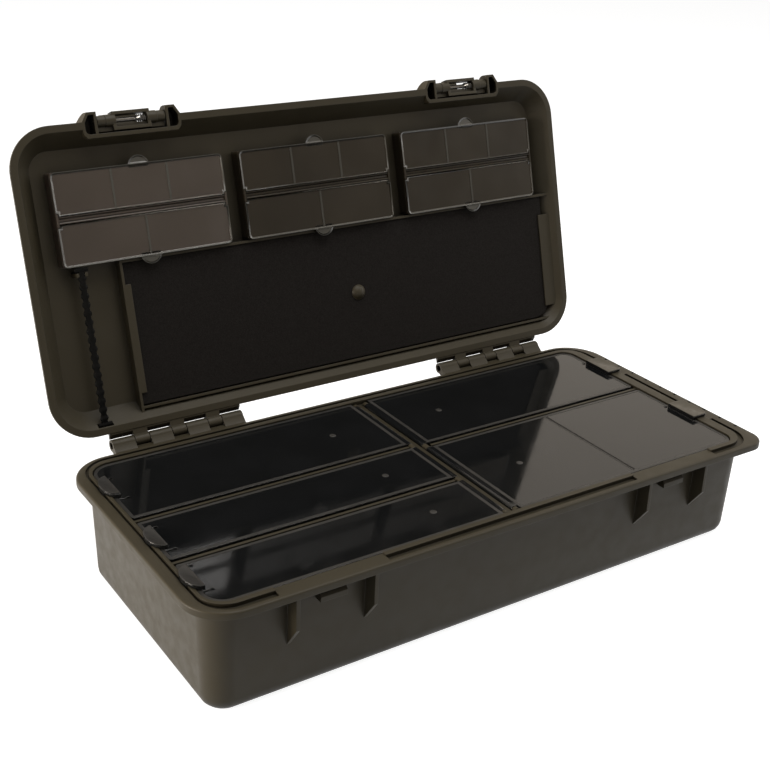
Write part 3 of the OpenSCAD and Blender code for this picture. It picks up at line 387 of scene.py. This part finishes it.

# %% [markdown]
# ## Frosted bit boxes
#
# The bit boxes are milky plastic in front of a dark lid, so they look brown.
# Volume scattering would be true to the real thing but slow and noisy; a rough
# surface with a little transmission gives the same soft look. The left box
# catches the window, so its copy of the plastic is paler, painted light; the
# other two take a darker copy, painted shade. The border copies are paler than
# their panels, a painted highlight.


# %% Frosted bit box finishes
def frosted_finish(name, low, high, clear, gloss):
    """Milky plastic: a fine frost scatters what shows through it."""
    made, tree, shader = new_finish(name)
    milk = drift(tree, noise(tree, 25, 1), low, high)
    tree.links.new(milk, shader.inputs["Base Color"])
    shader.inputs["Transmission Weight"].default_value = clear
    shader.inputs["Specular IOR Level"].default_value = gloss
    shader.inputs["IOR"].default_value = PLASTIC_IOR
    roughen(tree, shader, noise(tree, 60, 1), 0.28, 0.36)
    relief(tree, shader, 0.0003, (noise(tree, 300, 1), 0.08, 0.0002))
    return made


# Painted light and shade: one plastic in a paler copy for the left box and a
# darker copy for the other two.
frosted = frosted_finish(
    "bit_box_painted_light", (0.058, 0.043, 0.032), (0.068, 0.051, 0.038),
    clear=0.25, gloss=0.36)
shade_painted_frost = frosted_finish(
    "dusky_bit_box", (0.023, 0.018, 0.0115), (0.030, 0.0235, 0.015),
    clear=0.03, gloss=0.18)
# Border copies, paler than their panels: painted highlight; the second is also
# darker, painted shade.
highlight_painted_edge = frosted_finish(
    "bit_box_edge_painted_highlight", (0.062, 0.059, 0.049), (0.080, 0.076, 0.063),
    clear=0.1, gloss=0.35)
shade_and_highlight_edge = frosted_finish(
    "bit_box_edge_painted_shade_and_highlight", (0.050, 0.047, 0.038), (0.064, 0.060, 0.049),
    clear=0.1, gloss=0.3)
print("frosted finishes:",
      ", ".join(m.name for m in (frosted, shade_painted_frost, highlight_painted_edge, shade_and_highlight_edge)))

# %% [markdown]
# ## Foam
#
# The rig board is closed-cell foam that pins push into. Its cells are too small
# to model, so a very fine noise drives both the colour and the bump, and high
# roughness takes the shine away.

# %% Foam finish
FOAM_LOW, FOAM_HIGH = (0.0075, 0.0065, 0.0057), (0.0145, 0.0125, 0.0110)

foam, tree, shader = new_finish("black_foam_sheet")
cells = noise(tree, 2600, 3)
skin = drift(tree, cells, FOAM_LOW, FOAM_HIGH)
tree.links.new(skin, shader.inputs["Base Color"])
roughen(tree, shader, noise(tree, 900, 2), 0.82, 0.98)
shader.inputs["Specular IOR Level"].default_value = 0.15
relief(tree, shader, 0.0006, (cells, 0.4, 0.0003))
print(foam.name, "has", len(tree.nodes), "nodes")

# %% [markdown]
# ## Rubber
#
# The rig strip is black rubber, shiny where it was pressed in its mould. It is
# the blackest thing in the picture, so the base colour stays near nothing and
# only thin highlights show the beads.

# %% Rubber finish
RUBBER_LOW, RUBBER_HIGH = (0.004, 0.004, 0.0038), (0.007, 0.0068, 0.0065)

rubber, tree, shader = new_finish("black_rubber_cord")
skin = drift(tree, noise(tree, 300, 2), RUBBER_LOW, RUBBER_HIGH)
tree.links.new(skin, shader.inputs["Base Color"])
roughen(tree, shader, noise(tree, 200, 2), 0.24, 0.36)
shader.inputs["Specular IOR Level"].default_value = 0.05
relief(tree, shader, 0.0003, (noise(tree, 1200, 2), 0.15, 0.0001))
print(rubber.name, "has", len(tree.nodes), "nodes")

# %% [markdown]
# ## Steel
#
# Pins, rods and springs are drawn wire. Drawing leaves fine streaks along the
# wire, made here by noise squeezed along X. The pins and springs take a dark
# copy of the steel, painted shade, and the free leg of each spring a pale copy,
# a painted glint.

# %% Steel finishes
ALONG_X = (0.05, 1, 1)


def steel_finish(name, low, high):
    """Drawn wire: metal with fine streaks along X."""
    made, tree, shader = new_finish(name)
    metal = drift(tree, noise(tree, 400, 2), low, high)
    tree.links.new(metal, shader.inputs["Base Color"])
    shader.inputs["Metallic"].default_value = 1.0
    roughen(tree, shader, noise(tree, 900, 2, ALONG_X), 0.22, 0.36)
    relief(tree, shader, 0.0002, (noise(tree, 1400, 2, ALONG_X), 0.15, 0.0001))
    return made


# Painted shade in the dark copy, a painted glint in the pale one.
shade_painted_steel = steel_finish("steel_wire_painted_shade",
                     (0.070, 0.066, 0.060), (0.105, 0.10, 0.092))
glint_painted_steel = steel_finish("steel_wire_painted_glint",
                      (0.62, 0.61, 0.59), (0.72, 0.71, 0.69))
print("steel finishes:", shade_painted_steel.name, "and", glint_painted_steel.name)

# %% [markdown]
# ## Finishes on the CAD bodies
#
# Every CAD node arrives with a material named after what it is made of. Each
# name is swapped for the finish made above, so no face has to be picked by hand.
# Only the middle and right bit trays differ from the rule: they take the darker
# copy of the bit box plastic, painted shade.

# %% Give each CAD node its finish
finish_of = {"olive_plastic": olive, "smoke_plastic": smoke,
             "bit_box_plastic": frosted, "black_foam": foam,
             "black_rubber": rubber, "pin_steel": shade_painted_steel}
for thing in nodes.values():
    for held in thing.material_slots:
        held.material = finish_of[held.material.name.split(".")[0]]
# Painted shade: the middle and right trays take the darker copy.
for name in ("bit_tray_middle", "bit_tray_right"):
    nodes[name].material_slots[0].material = shade_painted_frost
print("nodes with a finish:", len(nodes))

# %% [markdown]
# ## Soft shading
#
# Moulded plastic has smooth curves and crisp corners. CAD meshes come as loose
# flat triangles, and a subdivision would change their shape. So a small
# geometry nodes group only welds them and picks which edges stay sharp.

# %% Soft shading
WELD_GAP = 0.00001
SHARP_FROM = math.radians(33)


def soft_shading_group():
    """Welds a mesh and shades it smooth, with its sharp edges kept."""
    group = bpy.data.node_groups.new("weld_and_smooth", "GeometryNodeTree")
    for way in ("INPUT", "OUTPUT"):
        group.interface.new_socket("Geometry", in_out=way,
                                   socket_type="NodeSocketGeometry")
    chain = [group.nodes.new(kind) for kind in (
        "NodeGroupInput", "GeometryNodeRemoveAttribute",
        "GeometryNodeMergeByDistance", "GeometryNodeSetShadeSmooth",
        "GeometryNodeSetShadeSmooth", "NodeGroupOutput")]
    forget, weld, smooth, crease = chain[1:5]
    forget.inputs["Name"].default_value = "custom_normal"
    weld.inputs["Distance"].default_value = WELD_GAP
    smooth.domain = "FACE"
    crease.domain = "EDGE"
    crease.inputs["Shade Smooth"].default_value = False
    for one, other in zip(chain, chain[1:]):
        entry = "Mesh" if "Mesh" in other.inputs else "Geometry"
        group.links.new(one.outputs[0], other.inputs[entry])
    angle = group.nodes.new("GeometryNodeInputMeshEdgeAngle")
    sharp = group.nodes.new("FunctionNodeCompare")
    sharp.data_type = "FLOAT"
    sharp.operation = "GREATER_THAN"
    sharp.inputs[1].default_value = SHARP_FROM
    group.links.new(angle.outputs["Unsigned Angle"], sharp.inputs[0])
    group.links.new(sharp.outputs[0], crease.inputs["Selection"])
    return group


def smooth_over(thing):
    """Adds the welding and shading group to an object."""
    step = thing.modifiers.new("weld_and_smooth", "NODES")
    step.node_group = smoothing


smoothing = soft_shading_group()
for thing in nodes.values():
    smooth_over(thing)
print("nodes welded and smoothed:", len(nodes))

# %% [markdown]
# ## Pieces that dress the CAD bodies
#
# Each new piece is drawn in millimetres where its CAD body was drawn. A matrix
# then puts it in place, and it rides on that body, so it follows every pose.
# The open lid's frame is the shut lid turned back about the main hinge.

# %% Piece helpers
MM = 0.001
HINGE = Vector((0, 0.092, 0.0655))
LID_OPEN = math.radians(-105.75)
LID_TURN = (Matrix.Translation(HINGE) @ Matrix.Rotation(LID_OPEN, 4, "X")
            @ Matrix.Translation(-HINGE))
STAYS = Matrix.Identity(4)
ROUND_OVER = 0.6
STEP_DOWN = 0.15


def only(kind, parts):
    """The parts of one kind: vertices, edges or faces."""
    return [part for part in parts if isinstance(part, kind)]


def add_box(mesh, x0, x1, y0, y1, z0, z1):
    """A box between two corners."""
    size = Matrix.Diagonal((x1 - x0, y1 - y0, z1 - z0, 1))
    middle = ((x0 + x1) / 2, (y0 + y1) / 2, (z0 + z1) / 2)
    spot = Matrix.Translation(middle)
    bmesh.ops.create_cube(mesh, size=1, matrix=spot @ size)


def soften(mesh, width):
    """Rounds every sharp edge made so far."""
    sharp = [e for e in mesh.edges if e.calc_face_angle(0) > ROUND_OVER]
    bmesh.ops.bevel(mesh, geom=sharp, offset=width, segments=2,
                    affect="EDGES", profile=0.5, material=-1)


def round_corners(mesh, corners, radius, segments):
    """Rounds corners of a flat face."""
    bmesh.ops.bevel(mesh, geom=corners, offset=radius, segments=segments,
                    affect="VERTICES", profile=0.5, material=-1)
    mesh.faces.ensure_lookup_table()


def inset_open(mesh, face, width):
    """Insets a face whose edges are open; returns the ring around it."""
    return bmesh.ops.inset_region(
        mesh, faces=[face], thickness=width,
        use_boundary=True, use_even_offset=True)["faces"]


def cut_away(mesh, geom, place, **sides):
    """Cuts parts of a mesh with a plane and clears one side of it."""
    bmesh.ops.bisect_plane(mesh, geom=geom, plane_co=place, **sides)


def give_height(mesh, height):
    """Raises every face so far into a slab; returns its top faces."""
    made = bmesh.ops.extrude_face_region(mesh, geom=mesh.faces[:])["geom"]
    bmesh.ops.translate(mesh, verts=only(bmesh.types.BMVert, made),
                        vec=(0, 0, height))
    return only(bmesh.types.BMFace, made)


def slab(mesh, top, rim, dip, thick):
    """Sinks a face inside a rim and gives it thickness below.

    The rim, the sides and the underside's edge take the second finish.
    """
    outer = list(top.edges)
    ring = inset_open(mesh, top, rim)
    inset_open(mesh, top, STEP_DOWN)
    bmesh.ops.translate(mesh, verts=top.verts, vec=(0, 0, -dip))
    side = bmesh.ops.extrude_edge_only(mesh, edges=outer)["geom"]
    bmesh.ops.translate(mesh, verts=only(bmesh.types.BMVert, side),
                        vec=(0, 0, -thick))
    bmesh.ops.holes_fill(mesh, edges=[
        e for e in only(bmesh.types.BMEdge, side) if e.is_boundary])
    for face in ring + only(bmesh.types.BMFace, side):
        face.material_index = 1


def place_piece(name, mesh, place, body, slot, *finishes):
    """Makes an object of a mesh in millimetres, riding on its body."""
    bmesh.ops.transform(mesh, matrix=place @ Matrix.Scale(MM, 4),
                        verts=mesh.verts)
    bmesh.ops.recalc_face_normals(mesh, faces=mesh.faces)
    data = bpy.data.meshes.new(name)
    mesh.to_mesh(data)
    mesh.free()
    for finish in finishes:
        data.materials.append(finish)
    made = bpy.data.objects.new(name, data)
    bpy.context.scene.collection.objects.link(made)
    smooth_over(made)
    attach(made, body)
    print(name, len(data.polygons), "faces, rides on", body)
    return made


# %% [markdown]
# ## The bit boxes
#
# A bit box is a frosted tray with two lids hinged on its middle. Each lid has
# rounded corners, a raised border that catches the light and is painted paler as
# a painted highlight, and a half-round tab for a fingertip, painted paler too.
# The CAD lid is a plain plate, so a bmesh cover replaces it: the outline's two
# outer corners are bevelled, and an inset sinks the panel.

# %% Bit box covers
BOX_X = {"left": -112.6, "middle": 0.0, "right": 112.6}
BOX_Y, BOX_Z = -34.8, 75.3
HALF_LONG, HALF_TUBE = 50.75, 49.25
NEAR_EDGE, SHOULDER, FAR_EDGE = 1.9, 3.9, 25.6
COVER_TOP = 10
COVER_CORNER = 2.6
TAB_RADIUS, TAB_MIDDLE, TAB_START, TAB_TOP = 6.5, 23.6, 25.3, 9.9
RIBS = {"upper": (-16.5, 16.5), "lower": (0,)}
RIB_HALF = 0.6
TUBE_Z = 8.9
TUBE_AND_PEGS = ((1.1, 98.5), (0.8, 101.3))


def box_place(side):
    """Where a bit box stands on the open lid: Y to its top, Z out of it."""
    spot = Matrix.Translation(Vector((BOX_X[side], BOX_Y, BOX_Z)) * MM)
    return LID_TURN @ spot @ Matrix.Rotation(math.pi, 4, "X")


def bit_cover(side, half):
    """One lid of a bit box, with its border, tab, ribs and hinge tube."""
    mesh = bmesh.new()
    outline = [(-HALF_TUBE, NEAR_EDGE), (HALF_TUBE, NEAR_EDGE),
               (HALF_TUBE, SHOULDER), (HALF_LONG, SHOULDER),
               (HALF_LONG, FAR_EDGE), (-HALF_LONG, FAR_EDGE),
               (-HALF_LONG, SHOULDER), (-HALF_TUBE, SHOULDER)]
    points = [mesh.verts.new((x, y, COVER_TOP)) for x, y in outline]
    mesh.faces.new(points)
    round_corners(mesh, points[4:6], COVER_CORNER, segments=5)
    slab(mesh, mesh.faces[0], rim=1.0, dip=0.35, thick=1.4)

    panel = set(mesh.faces)
    bmesh.ops.create_circle(
        mesh, cap_ends=True, segments=40, radius=TAB_RADIUS,
        matrix=Matrix.Translation((0, TAB_MIDDLE, TAB_TOP)))
    tab = [face for face in mesh.faces if face not in panel]
    geom = (tab + list({e for f in tab for e in f.edges})
            + list({v for f in tab for v in f.verts}))
    cut_away(mesh, geom, (0, TAB_START, 0), plane_no=(0, 1, 0),
             clear_inner=True)
    tab = [face for face in mesh.faces if face not in panel]
    slab(mesh, tab[0], rim=0.9, dip=0.2, thick=1.3)
    tab[0].material_index = 1

    for x in RIBS[half]:
        before = set(mesh.faces)
        add_box(mesh, x - RIB_HALF, x + RIB_HALF, 3.0, 24.5, 9.6, 9.85)
        for face in set(mesh.faces) - before:
            face.material_index = 1
    lie = (Matrix.Translation((0, NEAR_EDGE, TUBE_Z))
           @ Matrix.Rotation(math.pi / 2, 4, "Y"))
    for radius, length in TUBE_AND_PEGS:
        bmesh.ops.create_cone(mesh, cap_ends=True, segments=20, depth=length,
                              radius1=radius, radius2=radius, matrix=lie)

    flip = STAYS if half == "upper" else Matrix.Scale(-1, 4, (0, 1, 0))
    lid = f"bit_lid_{side}_{half}"
    # The left box takes the painted-light copies, the others the painted-shade
    # copies.
    shades = (frosted, highlight_painted_edge) if side == "left" else (shade_painted_frost, shade_and_highlight_edge)
    made = place_piece(f"bit_cover_{side}_{half}", mesh,
                       box_place(side) @ flip, lid, "bit_box_plastic", *shades)
    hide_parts(lid)


for side in BOX_X:
    for half in RIBS:
        bit_cover(side, half)

# %% [markdown]
# ## The hinge spines
#
# Between the two lids of a bit box runs the tray's hinge bar, seen as a pale
# line. The tray itself stays as CAD made it, so a thin bar with softened edges
# lies on it and catches the light that a sharp CAD edge would miss.

# %% Hinge spines
SPINE_HALF_LONG, SPINE_HALF_WIDE = 49.4, 0.65
SPINE_LOW, SPINE_HIGH = 7.5, 9.3
SPINE_ROUND = 0.25

for side in BOX_X:
    spine = bmesh.new()
    add_box(spine, -SPINE_HALF_LONG, SPINE_HALF_LONG,
            -SPINE_HALF_WIDE, SPINE_HALF_WIDE, SPINE_LOW, SPINE_HIGH)
    soften(spine, SPINE_ROUND)
    # The spines take the same painted light and painted shade copies as their
    # boxes.
    place_piece(f"hinge_spine_{side}", spine, box_place(side), "lid",
                "bit_box_plastic", frosted if side == "left" else shade_painted_frost)

# %% [markdown]
# ## The rig strip
#
# Hooks hang between the beads of this rubber strip. Each bead is a squashed
# ball that melts into a thin neck. A turned profile would make them round, so
# one ball is made and scaled for each bead, and a bevelled bar joins them.

# %% Rig strip
BEADS = 17
FIRST_BEAD, BEAD_PITCH = 85 - 9.2, 4.9
BEAD_Z = 66.7
BEAD_HALVES = (2.45, 2.35, 1.08)
NECK_HALF, HEAD_HALF = 1.5, 4
STRIP_Y0, STRIP_Y1, HEAD_LONG = -8.2, 80.3, 2
STRIP_SHIFT = -0.154

strip = bmesh.new()
add_box(strip, -NECK_HALF, NECK_HALF, STRIP_Y0, STRIP_Y1, 65.75, 67.6)
for y in (STRIP_Y0, STRIP_Y1 - HEAD_LONG):
    add_box(strip, -HEAD_HALF, HEAD_HALF, y, y + HEAD_LONG, 65.6, 67.8)
soften(strip, 0.5)
for i in range(BEADS):
    shape = (Matrix.Translation((0, FIRST_BEAD - BEAD_PITCH * i, BEAD_Z))
             @ Matrix.Diagonal((*BEAD_HALVES, 1)))
    bmesh.ops.create_uvsphere(strip, u_segments=18, v_segments=10, radius=1,
                              matrix=shape)
beads = place_piece("beaded_strip", strip,
                    LID_TURN @ Matrix.Translation((STRIP_SHIFT, 0, 0)),
                    "lid", "black_rubber", rubber)
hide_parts("rig_strip")

# %% [markdown]
# ## The edges of the clear lids
#
# Each smoked lid has a narrow satin band all round and a small round gate mark
# where the plastic ran in. The band is only a tenth of a millimetre proud of
# the clear sheet, as a mould leaves it. It could be a solidified curve; here one
# face with rounded corners is inset, its middle is deleted, and the ring left
# over is given height.

# %% Clear lid trim
# Each lid: which side it is on, its two long edges, and the middle of its tab.
LIDS = {"left_rear": (-1, 14.8, 75.2, 48.3),
        "left_middle": (-1, -29.8, 9.6, -10.1),
        "left_front": (-1, -75.2, -35.0, -50.6),
        "right_rear": (1, 11.1, 75.2, 42.05),
        "right_front": (1, -75.2, 5.9, -33.55)}
# The band's far edge and its big corner radius, on each side.
FAR_AND_CORNER = {-1: (173.9, 11.4), 1: (166.4, 7.2)}
TRIM_START = 6
TRIM_INSET = 0.2
TRIM_Z = 64.38
TRIM_WIDTH, TRIM_HEIGHT = 1.9, 0.12
SMALL_CORNER = 1.8
OUTSIDE_Y = 75
MARK_X, MARK_Z = 37, 64.45

for name, (hand, y0, y1, _) in LIDS.items():
    trim = bmesh.new()
    x1, big = FAR_AND_CORNER[hand]
    outline = ((TRIM_START, y0 + TRIM_INSET), (x1, y0 + TRIM_INSET),
               (x1, y1 - TRIM_INSET), (TRIM_START, y1 - TRIM_INSET))
    corners = [trim.verts.new((hand * x, y, TRIM_Z)) for x, y in outline]
    trim.faces.new(corners)
    for corner, outside in ((corners[1], y0 < -OUTSIDE_Y),
                            (corners[2], y1 > OUTSIDE_Y)):
        round_corners(trim, [corner], big if outside else SMALL_CORNER,
                      segments=8)
    middle = trim.faces[0]
    inset_open(trim, middle, TRIM_WIDTH)
    bmesh.ops.delete(trim, geom=[middle], context="FACES")
    give_height(trim, TRIM_HEIGHT)
    mark = Matrix.Translation((hand * MARK_X, (y0 + y1) / 2, MARK_Z))
    bmesh.ops.create_cone(trim, cap_ends=True, segments=24, depth=0.35,
                          radius1=2.0, radius2=1.6, matrix=mark)
    place_piece(f"lid_trim_{name}", trim, STAYS, f"clear_lid_{name}",
                "smoke_plastic", satin)

# %% [markdown]
# ## The finger tabs
#
# A fingertip lifts each lid by its tab: half an oval on the left lids and a
# rounded oblong on the right ones. The pad is an outline given height, with a
# shallow dish made by two insets, which needs no boolean cut.

# %% Finger tab pads
PAD_Z, PAD_RISE, PAD_DIP = 67.05, 0.26, 0.12
OVAL_MIDDLE, OVAL_CUT, OVAL_RADIUS = -170.3, -170.35, 10.4
OVAL_SQUASH = 7.0 / 10.5
PAD_X0, PAD_X1, PAD_HALF = 164.3, 175.9, 10.6
PAD_CORNER = 2.9

for name, (hand, _, _, tab_y) in LIDS.items():
    pad = bmesh.new()
    if hand < 0:
        shape = (Matrix.Translation((OVAL_MIDDLE, tab_y, PAD_Z))
                 @ Matrix.Diagonal((OVAL_SQUASH, 1, 1, 1)))
        bmesh.ops.create_circle(pad, cap_ends=True, segments=48,
                                radius=OVAL_RADIUS, matrix=shape)
        geom = list(pad.verts) + list(pad.edges) + list(pad.faces)
        cut_away(pad, geom, (OVAL_CUT, 0, 0), plane_no=(1, 0, 0),
                 clear_outer=True)
    else:
        outline = ((PAD_X0, tab_y - PAD_HALF), (PAD_X1, tab_y - PAD_HALF),
                   (PAD_X1, tab_y + PAD_HALF), (PAD_X0, tab_y + PAD_HALF))
        corners = [pad.verts.new((x, y, PAD_Z)) for x, y in outline]
        pad.faces.new(corners)
        round_corners(pad, corners[1:3], PAD_CORNER, segments=5)
    top = give_height(pad, PAD_RISE)[0]
    for width in (0.9, 0.2):
        bmesh.ops.inset_region(pad, faces=[top], thickness=width)
    bmesh.ops.translate(pad, verts=top.verts, vec=(0, 0, -PAD_DIP))
    # The right tabs take the tan copy, a painted reflection.
    place_piece(f"tab_pad_{name}", pad, STAYS, f"clear_lid_{name}",
                "smoke_plastic", satin if hand < 0 else reflection_painted_satin)

# %% [markdown]
# ## The seam over the short wall
#
# The front right lid shows a pale and a dark line above the wall that splits its
# row in two. A texture could draw them, but it would blur up close. Two flat
# strips, each thinner than a fingernail, stay crisp. The dark one is black
# rubber laid on the clear sheet as painted shade.

# %% Cross seam of the front right lid
# The dark strip, in black rubber, is painted shade above the wall.
for tone, x0, x1, top, finish in (("light", 87.2, 88.0, 64.5, satin),
                                  ("shade_strip", 88.0, 89.3, 64.45, rubber)):
    seam = bmesh.new()
    add_box(seam, x0, x1, -72.5, 3.0, 64.35, top)
    place_piece(f"lid_seam_{tone}", seam, STAYS, "clear_lid_right_front",
                "smoke_plastic", finish)

# %% [markdown]
# ## The latch springs
#
# A torsion spring sits on each latch pin in shadow, and the CAD model has its
# coil. One leg leans on the lever's plate; its pale steel is a painted glint. A
# curve with a round bevel could be bent to shape, but the part in view is
# straight, so a short cylinder with softened ends is enough.

# %% Spring legs
LATCH_PIN = Vector((0, -0.0845, 0.0683))
FOLDED = math.radians(-188)
FOLD = (Matrix.Translation(LATCH_PIN) @ Matrix.Rotation(FOLDED, 4, "X")
        @ Matrix.Translation(-LATCH_PIN))
LATCH_X = {"left": -112.5, "right": 112.5}
LEG_OFFSET, LEG_Y, LEG_Z = 3.2, -84.5, 70.2
LEG_LEAN = math.radians(28)
LEG_RADIUS, LEG_LENGTH = 0.55, 5.0
LEG_ROUND = 0.25

for side, x in LATCH_X.items():
    leg = bmesh.new()
    lean = (Matrix.Translation((x + LEG_OFFSET, LEG_Y, LEG_Z))
            @ Matrix.Rotation(LEG_LEAN, 4, "Y"))
    bmesh.ops.create_cone(leg, cap_ends=True, segments=14, depth=LEG_LENGTH,
                          radius1=LEG_RADIUS, radius2=LEG_RADIUS, matrix=lean)
    soften(leg, LEG_ROUND)
    # The leg's pale steel is a painted glint.
    place_piece(f"spring_leg_{side}", leg, LID_TURN @ FOLD, f"latch_{side}",
                "pin_steel", glint_painted_steel)
